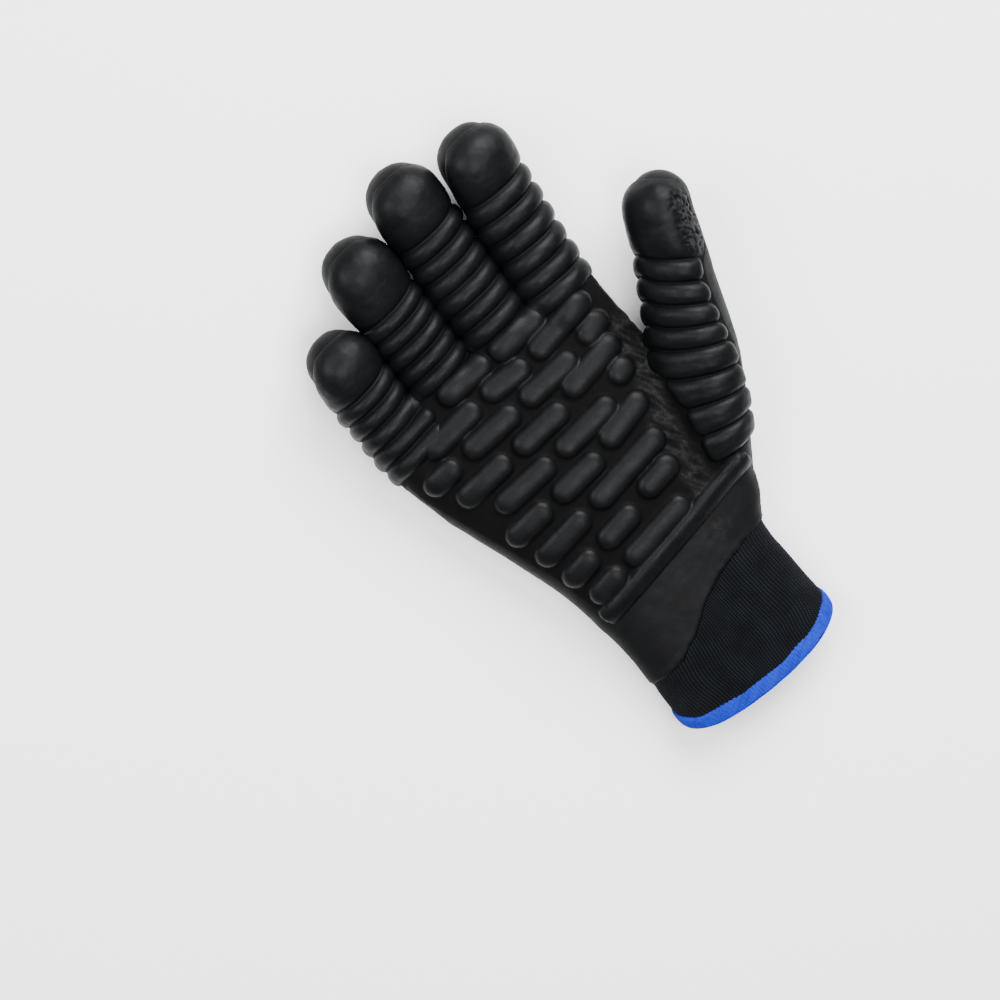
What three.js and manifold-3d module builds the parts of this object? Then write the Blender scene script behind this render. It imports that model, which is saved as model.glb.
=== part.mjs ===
import * as THREE from 'three';
import { ParametricGeometry } from 'three/addons/geometries/ParametricGeometry.js';
import { mergeVertices } from 'three/addons/utils/BufferGeometryUtils.js';
import Module from 'manifold-3d';

const wasm = await Module();
wasm.setup();

// Anti-vibration work glove for the right hand, lying on its back with the ribbed palm up.
// Millimetres. +Y runs to the fingertips, +X to the thumb and +Z out of the palm. y = 0 is the wrist.

// The hand
const palmLength = 132; // wrist to the finger crotches
const palmWidth = 116; // across the finger roots, outside the coat
const palmDepth = 29; // back to palm, outside the coat
const fingerLength = 100; // the middle finger, from its root inside the palm to its tip
const fingerWidth = 28; // outside the coat, without the ribs
const thumbLength = 135; // from the heel of the hand to the tip
const thumbWidth = 34; // at its base, outside the ribs

// The cuff
const cuffLength = 46; // wrist to the knit edge, at the sides
const cuffWidth = 77;
const cuffDepth = 22;
const palmEdgeDrop = 10; // how far the cuff's edge bows out on the palm side
const backEdgeRise = 7; // and how far it draws back on the back of the hand
const hemWidth = 6;
const hemWall = 1.6;

// Walls, counted inwards from the outer face of the rubber coat
const coatWall = 1.6;
const knitWall = 1.4;
const clearance = 0.3;
const knitUnderCoat = 14; // how far the knit runs on under the edge of the coat

// The ribbed palm
const sheetWall = 0.9; // the moulded sheet between the ribs
const ribHeight = 2.1;
const ribBow = 5; // how far a rib's ends run on towards the tip
const tipPadInset = 4.5; // from the end of the finger to the seam of its pad
const tipPadEdge = 1.5; // the steep edge of a tip pad, from its seam
const tipPadShoulder = 5.5; // from its seam to its full height
const padWidth = 9.4;
const ridgeWidth = 9;
const padSink = 0.4; // how far a pad's round ends run down into the sheet
const padHeight = 2.3; // above the sheet between the pads

const knitOffset = -coatWall - clearance;
const hollowOffset = knitOffset - knitWall;

// Sections of the palm and cuff, from the knit edge to the finger crotches. at: share of cuffLength
// (cuff) or palmLength (palm). left, right: shares of cuffWidth or palmWidth, from x = 0. back,
// front: heights as shares of cuffDepth or palmDepth. slant: share of the bow of the cuff's edge.
const cuffSections = [
  { at: -1.0, left: -0.52, right: 0.51, back: 0.0, front: 1.0, slant: 1.0, square: 2.2 },
  { at: -0.45, left: -0.505, right: 0.5, back: 0.0, front: 1.12, slant: 0.4, square: 2.3 },
];
const palmSections = [
  { at: 0.0, left: -0.335, right: 0.336, back: 0.02, front: 0.88, slant: 0, square: 2.4 },
  { at: 0.13, left: -0.352, right: 0.405, back: 0.0, front: 0.93, slant: 0, square: 2.5 },
  { at: 0.26, left: -0.38, right: 0.45, back: 0.0, front: 0.98, slant: 0, square: 2.6 },
  { at: 0.43, left: -0.44, right: 0.465, back: -0.02, front: 1.0, slant: 0, square: 2.7 },
  { at: 0.6, left: -0.5, right: 0.44, back: -0.04, front: 0.98, slant: 0, square: 2.7 },
  { at: 0.76, left: -0.545, right: 0.42, back: -0.04, front: 0.96, slant: 0, square: 2.7 },
  { at: 0.88, left: -0.565, right: 0.42, back: -0.02, front: 0.9, slant: 0, square: 2.8 },
  { at: 0.96, left: -0.56, right: 0.42, back: 0.05, front: 0.84, slant: 0, square: 2.8 },
  { at: 1.0, left: -0.54, right: 0.4, back: 0.2, front: 0.7, slant: 0, square: 2.4 },
];

// The digits. x, y, z: the root, as shares of palmWidth, palmLength and palmDepth. length, width:
// shares of fingerLength and fingerWidth, or thumbLength and thumbWidth. lean: degrees towards the
// thumb. roll: degrees that the ribs turn towards the thumb. curl: how strongly the finger bends up.
// ribs: runs of ribs from the first groove, each up to a share of the digit's length from its tip.
const fingers = [
  {
    name: 'index', x: 0.278, y: 0.85, z: 0.5, length: 0.92, width: 1, lean: 7, roll: 12, curl: 1,
    firstGroove: 0.3, ribs: [{ count: 6, to: 0.9 }],
  },
  {
    name: 'middle', x: 0.042, y: 0.87, z: 0.5, length: 0.95, width: 1, lean: 3.4, roll: 8, curl: 1,
    firstGroove: 0.31, ribs: [{ count: 6, to: 0.85 }],
  },
  {
    name: 'ring', x: -0.2, y: 0.86, z: 0.5, length: 0.855, width: 0.98, lean: 0.8, roll: 5, curl: 1.1,
    firstGroove: 0.38, ribs: [{ count: 5, to: 0.83 }],
  },
  {
    name: 'little', x: -0.446, y: 0.78, z: 0.48, length: 0.715, width: 0.92, lean: 0.5, roll: 8, curl: 1.2,
    firstGroove: 0.36, ribs: [{ count: 5, to: 0.92 }],
  },
];
const thumb = {
  name: 'thumb', x: 0.325, y: 0.13, z: 0.5, length: 1, width: 1,
  firstGroove: 0.24, ribs: [{ count: 4, to: 0.52 }, { count: 4, to: 0.88 }],
};

// Joints of a digit, along its length. lean, pitch, roll: degrees, added to the digit's own. skew: how
// far its ribs slant across it, in degrees, with the thumb side of the rib nearer to the tip.
const fingerJoints = [
  { at: 0.0, lean: 0, pitch: 1, roll: 0, skew: 10 },
  { at: 0.3, lean: 0, pitch: 6, roll: 0, skew: 10 },
  { at: 0.55, lean: 0, pitch: 12, roll: 0, skew: 10 },
  { at: 0.8, lean: 0, pitch: 18, roll: 0, skew: 10 },
];
const thumbJoints = [
  { at: 0.0, lean: 20, pitch: 6, roll: -6, skew: 22 },
  { at: 0.3, lean: 23, pitch: 8, roll: -14, skew: 6 },
  { at: 0.45, lean: 25, pitch: 9, roll: -24, skew: -2 },
  { at: 0.64, lean: 26, pitch: 8, roll: -33, skew: -12 },
  { at: 0.83, lean: 24, pitch: 8, roll: -38, skew: -14 },
];

// Sections of a digit: width, palm and back are half sizes, as shares of the digit's full width.
const fingerSections = [
  { at: 0.0, width: 0.44, palm: 0.42, back: 0.42 },
  { at: 0.2, width: 0.485, palm: 0.45, back: 0.45 },
  { at: 0.4, width: 0.49, palm: 0.44, back: 0.44 },
  { at: 0.6, width: 0.495, palm: 0.43, back: 0.43 },
  { at: 0.8, width: 0.5, palm: 0.43, back: 0.41 },
];
const thumbSections = [
  { at: 0.0, width: 0.25, palm: 0.2, back: 0.2 },
  { at: 0.12, width: 0.34, palm: 0.34, back: 0.34 },
  { at: 0.25, width: 0.44, palm: 0.42, back: 0.42 },
  { at: 0.42, width: 0.5, palm: 0.43, back: 0.43 },
  { at: 0.6, width: 0.44, palm: 0.41, back: 0.4 },
  { at: 0.75, width: 0.41, palm: 0.39, back: 0.38 },
  { at: 0.86, width: 0.4, palm: 0.39, back: 0.36 },
];

// Edges of the coat, seen in plan. x: share of palmWidth, y: share of palmLength.
const backCoatEdge = [
  { x: -1.0, y: 0.61 },
  { x: -0.38, y: 0.61 },
  { x: 0.12, y: 0.6 },
  { x: 0.48, y: 0.59 },
  { x: 0.72, y: 0.38 },
  { x: 1.2, y: 0.38 },
];
const palmCoatEdge = [
  { x: -1.0, y: -0.17 },
  { x: -0.28, y: -0.18 },
  { x: -0.19, y: -0.167 },
  { x: -0.105, y: -0.131 },
  { x: -0.005, y: -0.071 },
  { x: 0.103, y: -0.02 },
  { x: 0.228, y: 0.018 },
  { x: 0.345, y: 0.036 },
  { x: 1.2, y: 0.036 },
];
// Where the palm's coat ends round the sides of the hand. x: share of palmWidth, z: of palmDepth.
const sideCoatEdge = [
  { x: -1.0, z: 0.45 },
  { x: 0.33, z: 0.45 },
  { x: 0.75, z: 0.85 },
  { x: 1.2, z: 0.85 },
];

// Pads across the palm, staggered like bricks, a line for each row from the finger roots to the heel.
// A pad runs from x, y to toX, toY, as shares of palmWidth and palmLength.
const pads = [
  { x: -0.259, y: 0.928, toX: -0.043, toY: 0.939 },
  { x: -0.026, y: 0.93, toX: 0.202, toY: 0.945 },
  { x: -0.414, y: 0.83, toX: -0.172, toY: 0.852 },
  { x: -0.138, y: 0.858, toX: 0.052, toY: 0.851 },
  { x: 0.082, y: 0.856, toX: 0.353, toY: 0.894 },
  { x: -0.491, y: 0.742, toX: -0.353, toY: 0.754 },
  { x: -0.31, y: 0.758, toX: -0.078, toY: 0.765 },
  { x: -0.047, y: 0.769, toX: 0.194, toY: 0.777 },
  { x: 0.241, y: 0.792, toX: 0.362, toY: 0.814 },
  { x: -0.431, y: 0.653, toX: -0.207, toY: 0.667 },
  { x: -0.172, y: 0.669, toX: 0.056, toY: 0.677 },
  { x: 0.086, y: 0.703, toX: 0.341, toY: 0.736 },
  { x: -0.345, y: 0.565, toX: -0.099, toY: 0.577 },
  { x: -0.065, y: 0.58, toX: 0.197, toY: 0.598 },
  { x: 0.237, y: 0.639, toX: 0.326, toY: 0.661 },
  { x: -0.388, y: 0.462, toX: -0.207, toY: 0.477 },
  { x: -0.172, y: 0.48, toX: 0.04, toY: 0.492 },
  { x: 0.073, y: 0.509, toX: 0.287, toY: 0.553 },
  { x: -0.353, y: 0.355, toX: -0.125, toY: 0.384 },
  { x: -0.088, y: 0.39, toX: 0.252, toY: 0.432 },
  { x: -0.328, y: 0.25, toX: -0.19, toY: 0.273 },
  { x: -0.155, y: 0.279, toX: 0.016, toY: 0.3 },
  { x: 0.064, y: 0.32, toX: 0.228, toY: 0.342 },
  { x: -0.293, y: 0.155, toX: -0.155, toY: 0.177 },
  { x: -0.122, y: 0.183, toX: 0.171, toY: 0.22 },
];
const heelRidge = { x: -0.29, y: 0.1, toX: 0.42, toY: 0.208 };

// The outline of the moulded sheet that carries the pads, as shares of palmWidth and palmLength
const palmSheetOutline = [
  { x: -0.29, y: 0.07 },
  { x: 0.43, y: 0.18 },
  { x: 0.43, y: 0.93 },
  { x: 0.3, y: 0.98 },
  { x: -0.31, y: 0.98 },
  { x: -0.31, y: 0.87 },
  { x: -0.53, y: 0.82 },
  { x: -0.52, y: 0.72 },
  { x: -0.36, y: 0.3 },
];

// Rows around the palm side of a digit, in degrees from the palm: the raised sheet, then its buried back.
const sheetAngles = [-78, -56, -20, 20, 56, 78, 98, 180, 262];
const sheetEdge = 78;
const ribProfile = [
  { at: 0, lift: 0 },
  { at: 0.25, lift: 0.95 },
  { at: 0.75, lift: 0.95 },
];
const buried = -3; // how deep the back of a rib sheet starts inside the coat, before it is cut away

const far = 300; // past the end of the glove, for cuts that go right through

const crumb = 0.01; // the smallest step that a cut face keeps

const palmSides = 20;
const digitSides = 12;
const barAngles = [-60, 25, 90, 155, 240]; // round a pad, in degrees from its side
const barStep = 24;

const degrees = THREE.MathUtils.degToRad;

function mix(table, at, column) {
  const next = table.findIndex((row) => row.at >= at);
  if (next === 0) return table[0][column];
  if (next < 0) return table.at(-1)[column];
  const a = table[next - 1];
  const b = table[next];
  return THREE.MathUtils.lerp(a[column], b[column], THREE.MathUtils.smoothstep(at, a.at, b.at));
}

// Joining and cutting
function solid(geometry) {
  const bare = geometry.clone();
  bare.deleteAttribute('normal');
  bare.deleteAttribute('uv');
  const merged = mergeVertices(bare, 1e-4);
  const mesh = new wasm.Mesh({
    numProp: 3,
    vertProperties: merged.attributes.position.array,
    triVerts: new Uint32Array(merged.index.array),
  });
  return new wasm.Manifold(mesh);
}

function geometryOf(body) {
  const { vertProperties, triVerts } = body.getMesh();
  const geometry = new THREE.BufferGeometry();
  geometry.setAttribute('position', new THREE.BufferAttribute(vertProperties, 3));
  geometry.setIndex(new THREE.BufferAttribute(triVerts, 1));
  return geometry;
}

function joined(bodies) {
  return bodies.reduce((sum, body) => sum.add(body));
}

// The main body of a cut, without the crumbs that are left where two forms graze each other
function mainBody(body) {
  const largest = body.decompose().reduce((main, piece) => (piece.volume() > main.volume() ? piece : main));
  return largest.simplify(crumb);
}

// A closed tube: rings of points from one end to the other, each a function of the turn (0 to 1).
function tube(rings, sides) {
  const last = rings.length - 1;
  const pointAt = (u, v, target) => target.copy(rings[Math.round(v * last)](u % 1));
  return solid(new ParametricGeometry(pointAt, sides, last));
}

// One point of a flat-sided oval: across and up are from -1 to 1.
function ovalPoint(angle, square) {
  const power = 2 / square;
  const across = Math.sign(Math.cos(angle)) * Math.abs(Math.cos(angle)) ** power;
  const up = Math.sign(Math.sin(angle)) * Math.abs(Math.sin(angle)) ** power;
  return { across, up };
}

// The hand rests on its back, so nothing goes below the surface that it lies on.
function rested(point, offset) {
  point.z = Math.max(point.z, -Math.min(offset, 0));
  return point;
}

// The palm and cuff
function bodySections() {
  const size = (row, length, width, depth) => ({
    y: row.at * length,
    left: row.left * width,
    right: row.right * width,
    back: row.back * depth,
    front: row.front * depth,
    slant: row.slant,
    square: row.square,
  });
  const edge = size(cuffSections[0], cuffLength, cuffWidth, cuffDepth);
  return [
    edge,
    { ...edge, y: edge.y + hemWidth + clearance }, // the cuff is straight as far as the hem reaches
    ...cuffSections.slice(1).map((row) => size(row, cuffLength, cuffWidth, cuffDepth)),
    ...palmSections.map((row) => size(row, palmLength, palmWidth, palmDepth)),
  ];
}

function bodyRing(section, offset, scale = 1) {
  const { y, left, right, back, front, slant, square } = section;
  return (turn) => {
    const { across, up } = ovalPoint(-turn * 2 * Math.PI, square);
    const x = (left + right) / 2 + across * ((right - left) / 2 + offset) * scale;
    const z = (back + front) / 2 + up * ((front - back) / 2 + offset) * scale;
    const bow = up > 0 ? -palmEdgeDrop * up : -backEdgeRise * up;
    return rested(new THREE.Vector3(x, y + bow * slant * scale, z), offset);
  };
}

// The palm and cuff as one solid whose faces lie offset outside the coat. pastEdge: how far its open
// end lies beyond the knit edge.
function bodyForm(offset, pastEdge) {
  const sections = bodySections();
  const edge = { ...sections[0], y: sections[0].y - pastEdge };
  const crotch = { ...sections.at(-1), y: sections.at(-1).y + offset };
  const rings = [
    bodyRing(edge, offset, 0),
    bodyRing(edge, offset),
    ...sections.slice(1, -1).map((section) => bodyRing(section, offset)),
    bodyRing(crotch, offset),
    bodyRing(crotch, offset, 0),
  ];
  return tube(rings, palmSides);
}

// A piece of the cuff's form that runs from below its knit edge to above it.
function cuffBand(offset, below, above) {
  const edge = bodySections()[0];
  const start = { ...edge, y: edge.y - below };
  const end = { ...edge, y: edge.y + above };
  const rings = [bodyRing(start, offset, 0), bodyRing(start, offset), bodyRing(end, offset), bodyRing(end, offset, 0)];
  return tube(rings, palmSides);
}

// The digits
function digitOf(row, joints, sections, length, width) {
  const reach = row.length * length;
  const bends = joints.map((joint) => ({
    at: joint.at,
    lean: joint.lean + (row.lean ?? 0),
    pitch: joint.pitch * (row.curl ?? 1),
    roll: joint.roll + (row.roll ?? 0),
    skew: joint.skew,
  }));
  const points = [new THREE.Vector3(row.x * palmWidth, row.y * palmLength, row.z * palmDepth)];
  bends.forEach((bend, i) => {
    const span = ((bends[i + 1]?.at ?? 1) - bend.at) * reach;
    const level = Math.cos(degrees(bend.pitch));
    const step = new THREE.Vector3(
      Math.sin(degrees(bend.lean)) * level,
      Math.cos(degrees(bend.lean)) * level,
      Math.sin(degrees(bend.pitch)),
    );
    points.push(points.at(-1).clone().addScaledVector(step, span));
  });
  const spine = new THREE.CatmullRomCurve3(points, false, 'centripetal');
  return { ...row, reach, bends, spine, sections, width: row.width * width };
}

// Where a digit's centre lies, and its axes: along it, across it, and out of its palm side.
function frameAt(digit, along) {
  const share = THREE.MathUtils.clamp(along / digit.reach, 0, 1);
  const forward = digit.spine.getTangentAt(share);
  const centre = digit.spine.getPointAt(share).addScaledVector(forward, along - share * digit.reach);
  const level = new THREE.Vector3().crossVectors(forward, new THREE.Vector3(0, 0, 1)).normalize();
  const roll = degrees(mix(digit.bends, share, 'roll'));
  const side = level.clone().applyAxisAngle(forward, roll);
  const palm = new THREE.Vector3().crossVectors(side, forward);
  return { centre, side, palm };
}

// A point on a digit's skin: angle is in degrees from the palm, towards the thumb.
function digitPoint(digit, along, angle, offset) {
  const { centre, side, palm } = frameAt(digit, along);
  const share = along / digit.reach;
  const dome = digit.width * mix(digit.sections, 1, 'width');
  const intoDome = Math.max(0, along - (digit.reach - dome)) / (dome + offset);
  const closing = Math.sqrt(Math.max(0, 1 - intoDome ** 2));
  const { across, up } = ovalPoint(degrees(90 - angle), 2.3);
  const depth = digit.width * mix(digit.sections, share, up > 0 ? 'palm' : 'back');
  const half = digit.width * mix(digit.sections, share, 'width');
  centre.addScaledVector(side, across * (half + offset) * closing);
  centre.addScaledVector(palm, up * (depth + offset) * closing);
  return rested(centre, offset);
}

function digitForm(digit, offset) {
  const dome = digit.width * mix(digit.sections, 1, 'width');
  const straight = [0, 0.25, 0.5, 0.75].map((share) => share * (digit.reach - dome));
  const domed = [0, 30, 60, 90].map((rise) => digit.reach - dome + (dome + offset) * Math.sin(degrees(rise)));
  const rings = [...straight, ...domed].map((along) => (turn) => digitPoint(digit, along, turn * 360, offset));
  const root = () => frameAt(digit, -0.5 * digit.width - offset).centre;
  return tube([root, ...rings], digitSides);
}

const digits = [
  digitOf(thumb, thumbJoints, thumbSections, thumbLength, thumbWidth),
  ...fingers.map((finger) => digitOf(finger, fingerJoints, fingerSections, fingerLength, fingerWidth)),
];

function gloveForm(offset, pastEdge = 0) {
  return joined([bodyForm(offset, pastEdge), ...digits.map((digit) => digitForm(digit, offset))]);
}

// Rows of a digit's moulded sheet. lift: share of ribHeight, from a groove (0) to a rib's crown (1).
function sheetRows(digit) {
  const padEnd = digit.firstGroove * digit.reach;
  const rows = [
    { fromTip: tipPadInset, lift: 0 },
    { fromTip: tipPadInset + tipPadEdge, lift: 0.7 },
    { fromTip: tipPadInset + tipPadShoulder, lift: 1 },
    { fromTip: padEnd - tipPadShoulder, lift: 1 },
    { fromTip: padEnd - tipPadEdge, lift: 0.7 },
  ];
  let start = padEnd;
  for (const run of digit.ribs) {
    const pitch = (run.to * digit.reach - start) / run.count;
    for (let rib = 0; rib < run.count; rib += 1) {
      for (const { at, lift } of ribProfile) rows.push({ fromTip: start + at * pitch, lift });
      start += pitch;
    }
  }
  rows.push({ fromTip: start, lift: 0 });
  return rows;
}

// The moulded ribs along the palm side of a digit, before they are cut back to the coat.
function sheetForm(digit, grow) {
  const rows = sheetRows(digit);
  rows[0].fromTip -= grow;
  rows.at(-1).fromTip += grow;
  const rings = rows.map(({ fromTip, lift }) => (turn) => {
    const angle = sheetAngles[Math.round(turn * sheetAngles.length) % sheetAngles.length];
    const raised = Math.abs(angle) <= sheetEdge;
    const fade = 1 - 0.6 * (Math.abs(angle) / sheetEdge) ** 3;
    const offset = raised ? sheetWall + grow + lift * ribHeight * fade : buried;
    const across = raised ? angle / sheetEdge : 0;
    const skew = degrees(mix(digit.bends, 1 - fromTip / digit.reach, 'skew'));
    const bent = ribBow * across ** 2 + 0.5 * digit.width * Math.tan(skew) * across;
    const shift = bent * Math.min(1, fromTip / digit.width);
    const wider = raised ? 1 + (2 * grow) / digit.width : 1;
    return digitPoint(digit, digit.reach - fromTip + shift, angle * wider, offset);
  });
  const front = () => frameAt(digit, digit.reach - rows[0].fromTip).centre;
  const rear = () => frameAt(digit, digit.reach - rows.at(-1).fromTip).centre;
  return tube([front, ...rings, rear].reverse(), sheetAngles.length);
}

// The ribs of a digit, cut back to the coat and clear of its neighbour's.
function ribSheet(digit, neighbour) {
  const sheet = sheetForm(digit, 0).subtract(coatAndGap);
  return mainBody(neighbour ? sheet.subtract(sheetForm(neighbour, clearance)) : sheet);
}

// A prism over an outline in plan, between two heights.
function planPrism(outline, bottom, top) {
  const shape = new THREE.Shape(outline.map(({ x, y }) => new THREE.Vector2(x * palmWidth, y * palmLength)));
  const prism = new THREE.ExtrudeGeometry(shape, { depth: top - bottom, bevelEnabled: false });
  return solid(prism.translate(0, 0, bottom));
}

// A prism over an outline seen from the fingertips' end, right through the glove's length.
function endPrism(outline) {
  const shape = new THREE.Shape(outline.map(({ x, z }) => new THREE.Vector2(x * palmWidth, z * palmDepth)));
  const prism = new THREE.ExtrudeGeometry(shape, { depth: 2 * far, bevelEnabled: false });
  return solid(prism.rotateX(Math.PI / 2).translate(0, far, 0));
}

const beyond = far / palmLength;

function backRegion(shift) {
  const edge = backCoatEdge.map(({ x, y }) => ({ x, y: y + shift / palmLength }));
  return planPrism([...edge, { x: edge.at(-1).x, y: beyond }, { x: edge[0].x, y: beyond }], -far, far);
}

function palmRegion() {
  const corners = [{ x: palmCoatEdge.at(-1).x, y: beyond }, { x: palmCoatEdge[0].x, y: beyond }];
  const plan = planPrism([...palmCoatEdge, ...corners], -far, far);
  const above = [{ x: sideCoatEdge.at(-1).x, z: beyond }, { x: sideCoatEdge[0].x, z: beyond }];
  return plan.intersect(endPrism([...sideCoatEdge, ...above]));
}

// The pieces
function rubberCoat() {
  return mainBody(gloveForm(0).subtract(gloveForm(-coatWall)).intersect(backRegion(0).add(palmRegion())));
}

function knitLiner() {
  const shell = gloveForm(knitOffset).subtract(gloveForm(hollowOffset, far / 10));
  return mainBody(shell.subtract(backRegion(knitUnderCoat)));
}

function cuffHem() {
  const past = 2 * clearance;
  const outer = cuffBand(knitOffset + clearance + hemWall, past + hemWall, hemWidth - past - hemWall);
  const inner = cuffBand(hollowOffset - clearance - hemWall, far / 10, far / 10);
  const groove = cuffBand(knitOffset + clearance, past, far / 10);
  const bore = cuffBand(hollowOffset - clearance, far / 10, far / 5);
  return mainBody(outer.subtract(inner).subtract(groove.subtract(bore)));
}

const coatAndGap = gloveForm(clearance);
const coatMesh = new THREE.Mesh(geometryOf(gloveForm(0)));

// The point of the coat's palm side over a place in plan. A place past the side of the hand moves in.
function onPalm(x, y) {
  const down = new THREE.Raycaster(new THREE.Vector3(x, y, far), new THREE.Vector3(0, 0, -1));
  const [hit] = down.intersectObject(coatMesh);
  return hit ? hit.point : onPalm(0.98 * x, y);
}

// A bar with round ends that lies along the palm between two places in plan, sunk a little into it.
function palmBar(from, to, width, height) {
  const length = from.distanceTo(to);
  const end = width / 2;
  const ahead = new THREE.Vector2().subVectors(to, from).normalize();
  const spans = Math.max(1, Math.round((length - width) / barStep));
  const inner = Array.from({ length: spans + 1 }, (_, i) => end + (i / spans) * (length - width));
  const stations = [-padSink, 0.3 * end, ...inner, length - 0.3 * end, length + padSink];
  const rings = stations.map((along) => {
    const fromEnd = Math.max(0, Math.min(along, length - along, end));
    const closing = Math.sqrt(1 - (1 - fromEnd / end) ** 2);
    const place = from.clone().addScaledVector(ahead, along);
    const left = onPalm(place.x - ahead.y * end, place.y + ahead.x * end);
    const right = onPalm(place.x + ahead.y * end, place.y - ahead.x * end);
    const across = right.clone().sub(left).normalize();
    const up = new THREE.Vector3().crossVectors(across, new THREE.Vector3(ahead.x, ahead.y, 0)).normalize();
    const base = onPalm(place.x, place.y).addScaledVector(up, sheetWall);
    return (turn) => {
      const angle = degrees(barAngles[Math.round(turn * barAngles.length) % barAngles.length]);
      const point = base.clone().addScaledVector(across, Math.cos(angle) * end * closing);
      return point.addScaledVector(up, Math.sin(angle) * height * closing - (1 - closing) * padSink);
    };
  });
  return tube(rings.reverse(), barAngles.length);
}

function palmSheet() {
  const place = (x, y) => new THREE.Vector2(x * palmWidth, y * palmLength);
  const bar = ({ x, y, toX, toY }, width) => palmBar(place(x, y), place(toX, toY), width, padHeight);
  const bars = [...pads.map((pad) => bar(pad, padWidth)), bar(heelRidge, ridgeWidth)];
  const base = gloveForm(sheetWall).intersect(planPrism(palmSheetOutline, palmDepth / 2, far));
  const others = joined(digits.map((digit) => sheetForm(digit, clearance)));
  return mainBody(joined([base, ...bars]).subtract(others).subtract(coatAndGap));
}

// The colours
const rubber = new THREE.MeshStandardMaterial({ color: 0x17191b, roughness: 0.55, metalness: 0 });
const knit = new THREE.MeshStandardMaterial({ color: 0x14171a, roughness: 0.95, metalness: 0 });
const hemYarn = new THREE.MeshStandardMaterial({ color: 0x3f78d8, roughness: 0.9, metalness: 0 });

const glove = new THREE.Group();

function addPiece(name, body, material) {
  const mesh = new THREE.Mesh(geometryOf(body), material);
  mesh.name = name;
  glove.add(mesh);
}

addPiece('rubber_coat', rubberCoat(), rubber);
addPiece('knit_liner', knitLiner(), knit);
addPiece('cuff_hem', cuffHem(), hemYarn);
addPiece('palm_pads', palmSheet(), rubber);
digits.forEach((digit, i) => addPiece(`${digit.name}_ribs`, ribSheet(digit, digits[i - 1]), rubber));

// The origin is under the middle of the glove, on the surface that it lies on.
const middle = new THREE.Box3().setFromObject(glove).getCenter(new THREE.Vector3());
for (const piece of glove.children) piece.position.set(-middle.x, -middle.y, 0);

export default glove;
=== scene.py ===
import math

import bmesh
import bpy
from mathutils import Matrix, Vector, noise
from mathutils.bvhtree import BVHTree


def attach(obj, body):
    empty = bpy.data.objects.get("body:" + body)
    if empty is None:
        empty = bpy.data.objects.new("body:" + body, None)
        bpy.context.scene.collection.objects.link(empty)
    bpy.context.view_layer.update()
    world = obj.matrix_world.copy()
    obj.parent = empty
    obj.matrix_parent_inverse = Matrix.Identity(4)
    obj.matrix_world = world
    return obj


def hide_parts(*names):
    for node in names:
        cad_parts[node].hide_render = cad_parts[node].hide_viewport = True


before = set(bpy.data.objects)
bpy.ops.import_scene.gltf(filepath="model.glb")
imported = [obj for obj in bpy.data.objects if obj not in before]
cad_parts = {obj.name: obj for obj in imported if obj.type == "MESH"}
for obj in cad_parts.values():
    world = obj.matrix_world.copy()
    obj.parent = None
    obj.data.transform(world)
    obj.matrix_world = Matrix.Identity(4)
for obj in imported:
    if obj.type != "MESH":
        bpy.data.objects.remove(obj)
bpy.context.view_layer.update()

MM = 0.001
MIDDLE = Vector((16.406, 74.983, 0.0))  # the row's origin, seen from the wrist

PALM_LENGTH, PALM_WIDTH, PALM_DEPTH = 132, 116, 29
FINGER_LENGTH, FINGER_WIDTH = 100, 28
THUMB_LENGTH, THUMB_WIDTH = 135, 34
CUFF_LENGTH, CUFF_WIDTH, CUFF_DEPTH = 44, 77, 22
PALM_EDGE_DROP, BACK_EDGE_RISE = 10.5, 7

VOXEL = 1.2  # the facets of coat and knit
SKIN_GROWTH = 0.25  # the form is made this much fuller, for what smoothing takes off it
COAT_WALL = 1.2
KNIT_SINK = 0.7  # the knit lies this far under the coat's face
KNIT_WALL = 1.4
KNIT_UNDER_COAT = 12
RIB_HEIGHT = 3.3
PAD_HEIGHT = 3.0
SHEET_LIFT = 0.5  # the moulded sheet between ribs and pads
SHEET_WALL = 1.0
SHEET_PAST_RIBS = 12  # degrees round the digit
RIB_FACET, PAD_FACET = 0.45, 0.6

# Wales round the hand, about 1.3 mm each, and the height of a course. Real courses are some 0.7 mm and
# are drawn a little coarser, so that they show.
WALES, COURSE = 132, 1.0
# Threads round the hem, about 0.85 mm apart. Real yarn is some 0.5 mm thick and is drawn coarser too.
HEM_THREADS, FACETS_A_THREAD = 210, 4
HEM_REACH, HEM_THICK, HEM_PAST_EDGE = 3.4, 1.5, 2.4

# Sections of cuff and palm, as shares of their sizes: place along, left, right, back, front, slant of
# the knit edge, and squareness
CUFF = [
    (-1.0, -0.52, 0.51, 0.0, 1.0, 1.0, 2.2),
    (-0.81, -0.52, 0.51, 0.0, 1.0, 1.0, 2.2),
    (-0.47, -0.505, 0.5, 0.0, 1.12, 0.4, 2.3),
]
PALM = [
    (0.0, -0.335, 0.336, 0.02, 0.88, 0.0, 2.4),
    (0.07, -0.344, 0.392, 0.01, 0.905, 0.0, 2.45),
    (0.13, -0.352, 0.42, 0.0, 0.93, 0.0, 2.5),
    (0.26, -0.38, 0.45, 0.0, 0.98, 0.0, 2.6),
    (0.43, -0.44, 0.465, -0.02, 1.0, 0.0, 2.7),
    (0.6, -0.5, 0.44, -0.04, 0.98, 0.0, 2.7),
    (0.76, -0.545, 0.42, -0.04, 0.96, 0.0, 2.7),
    (0.88, -0.565, 0.42, -0.02, 0.9, 0.0, 2.8),
    (0.96, -0.56, 0.42, 0.05, 0.84, 0.0, 2.8),
    (1.0, -0.54, 0.4, 0.2, 0.7, 0.0, 2.4),
]

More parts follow.
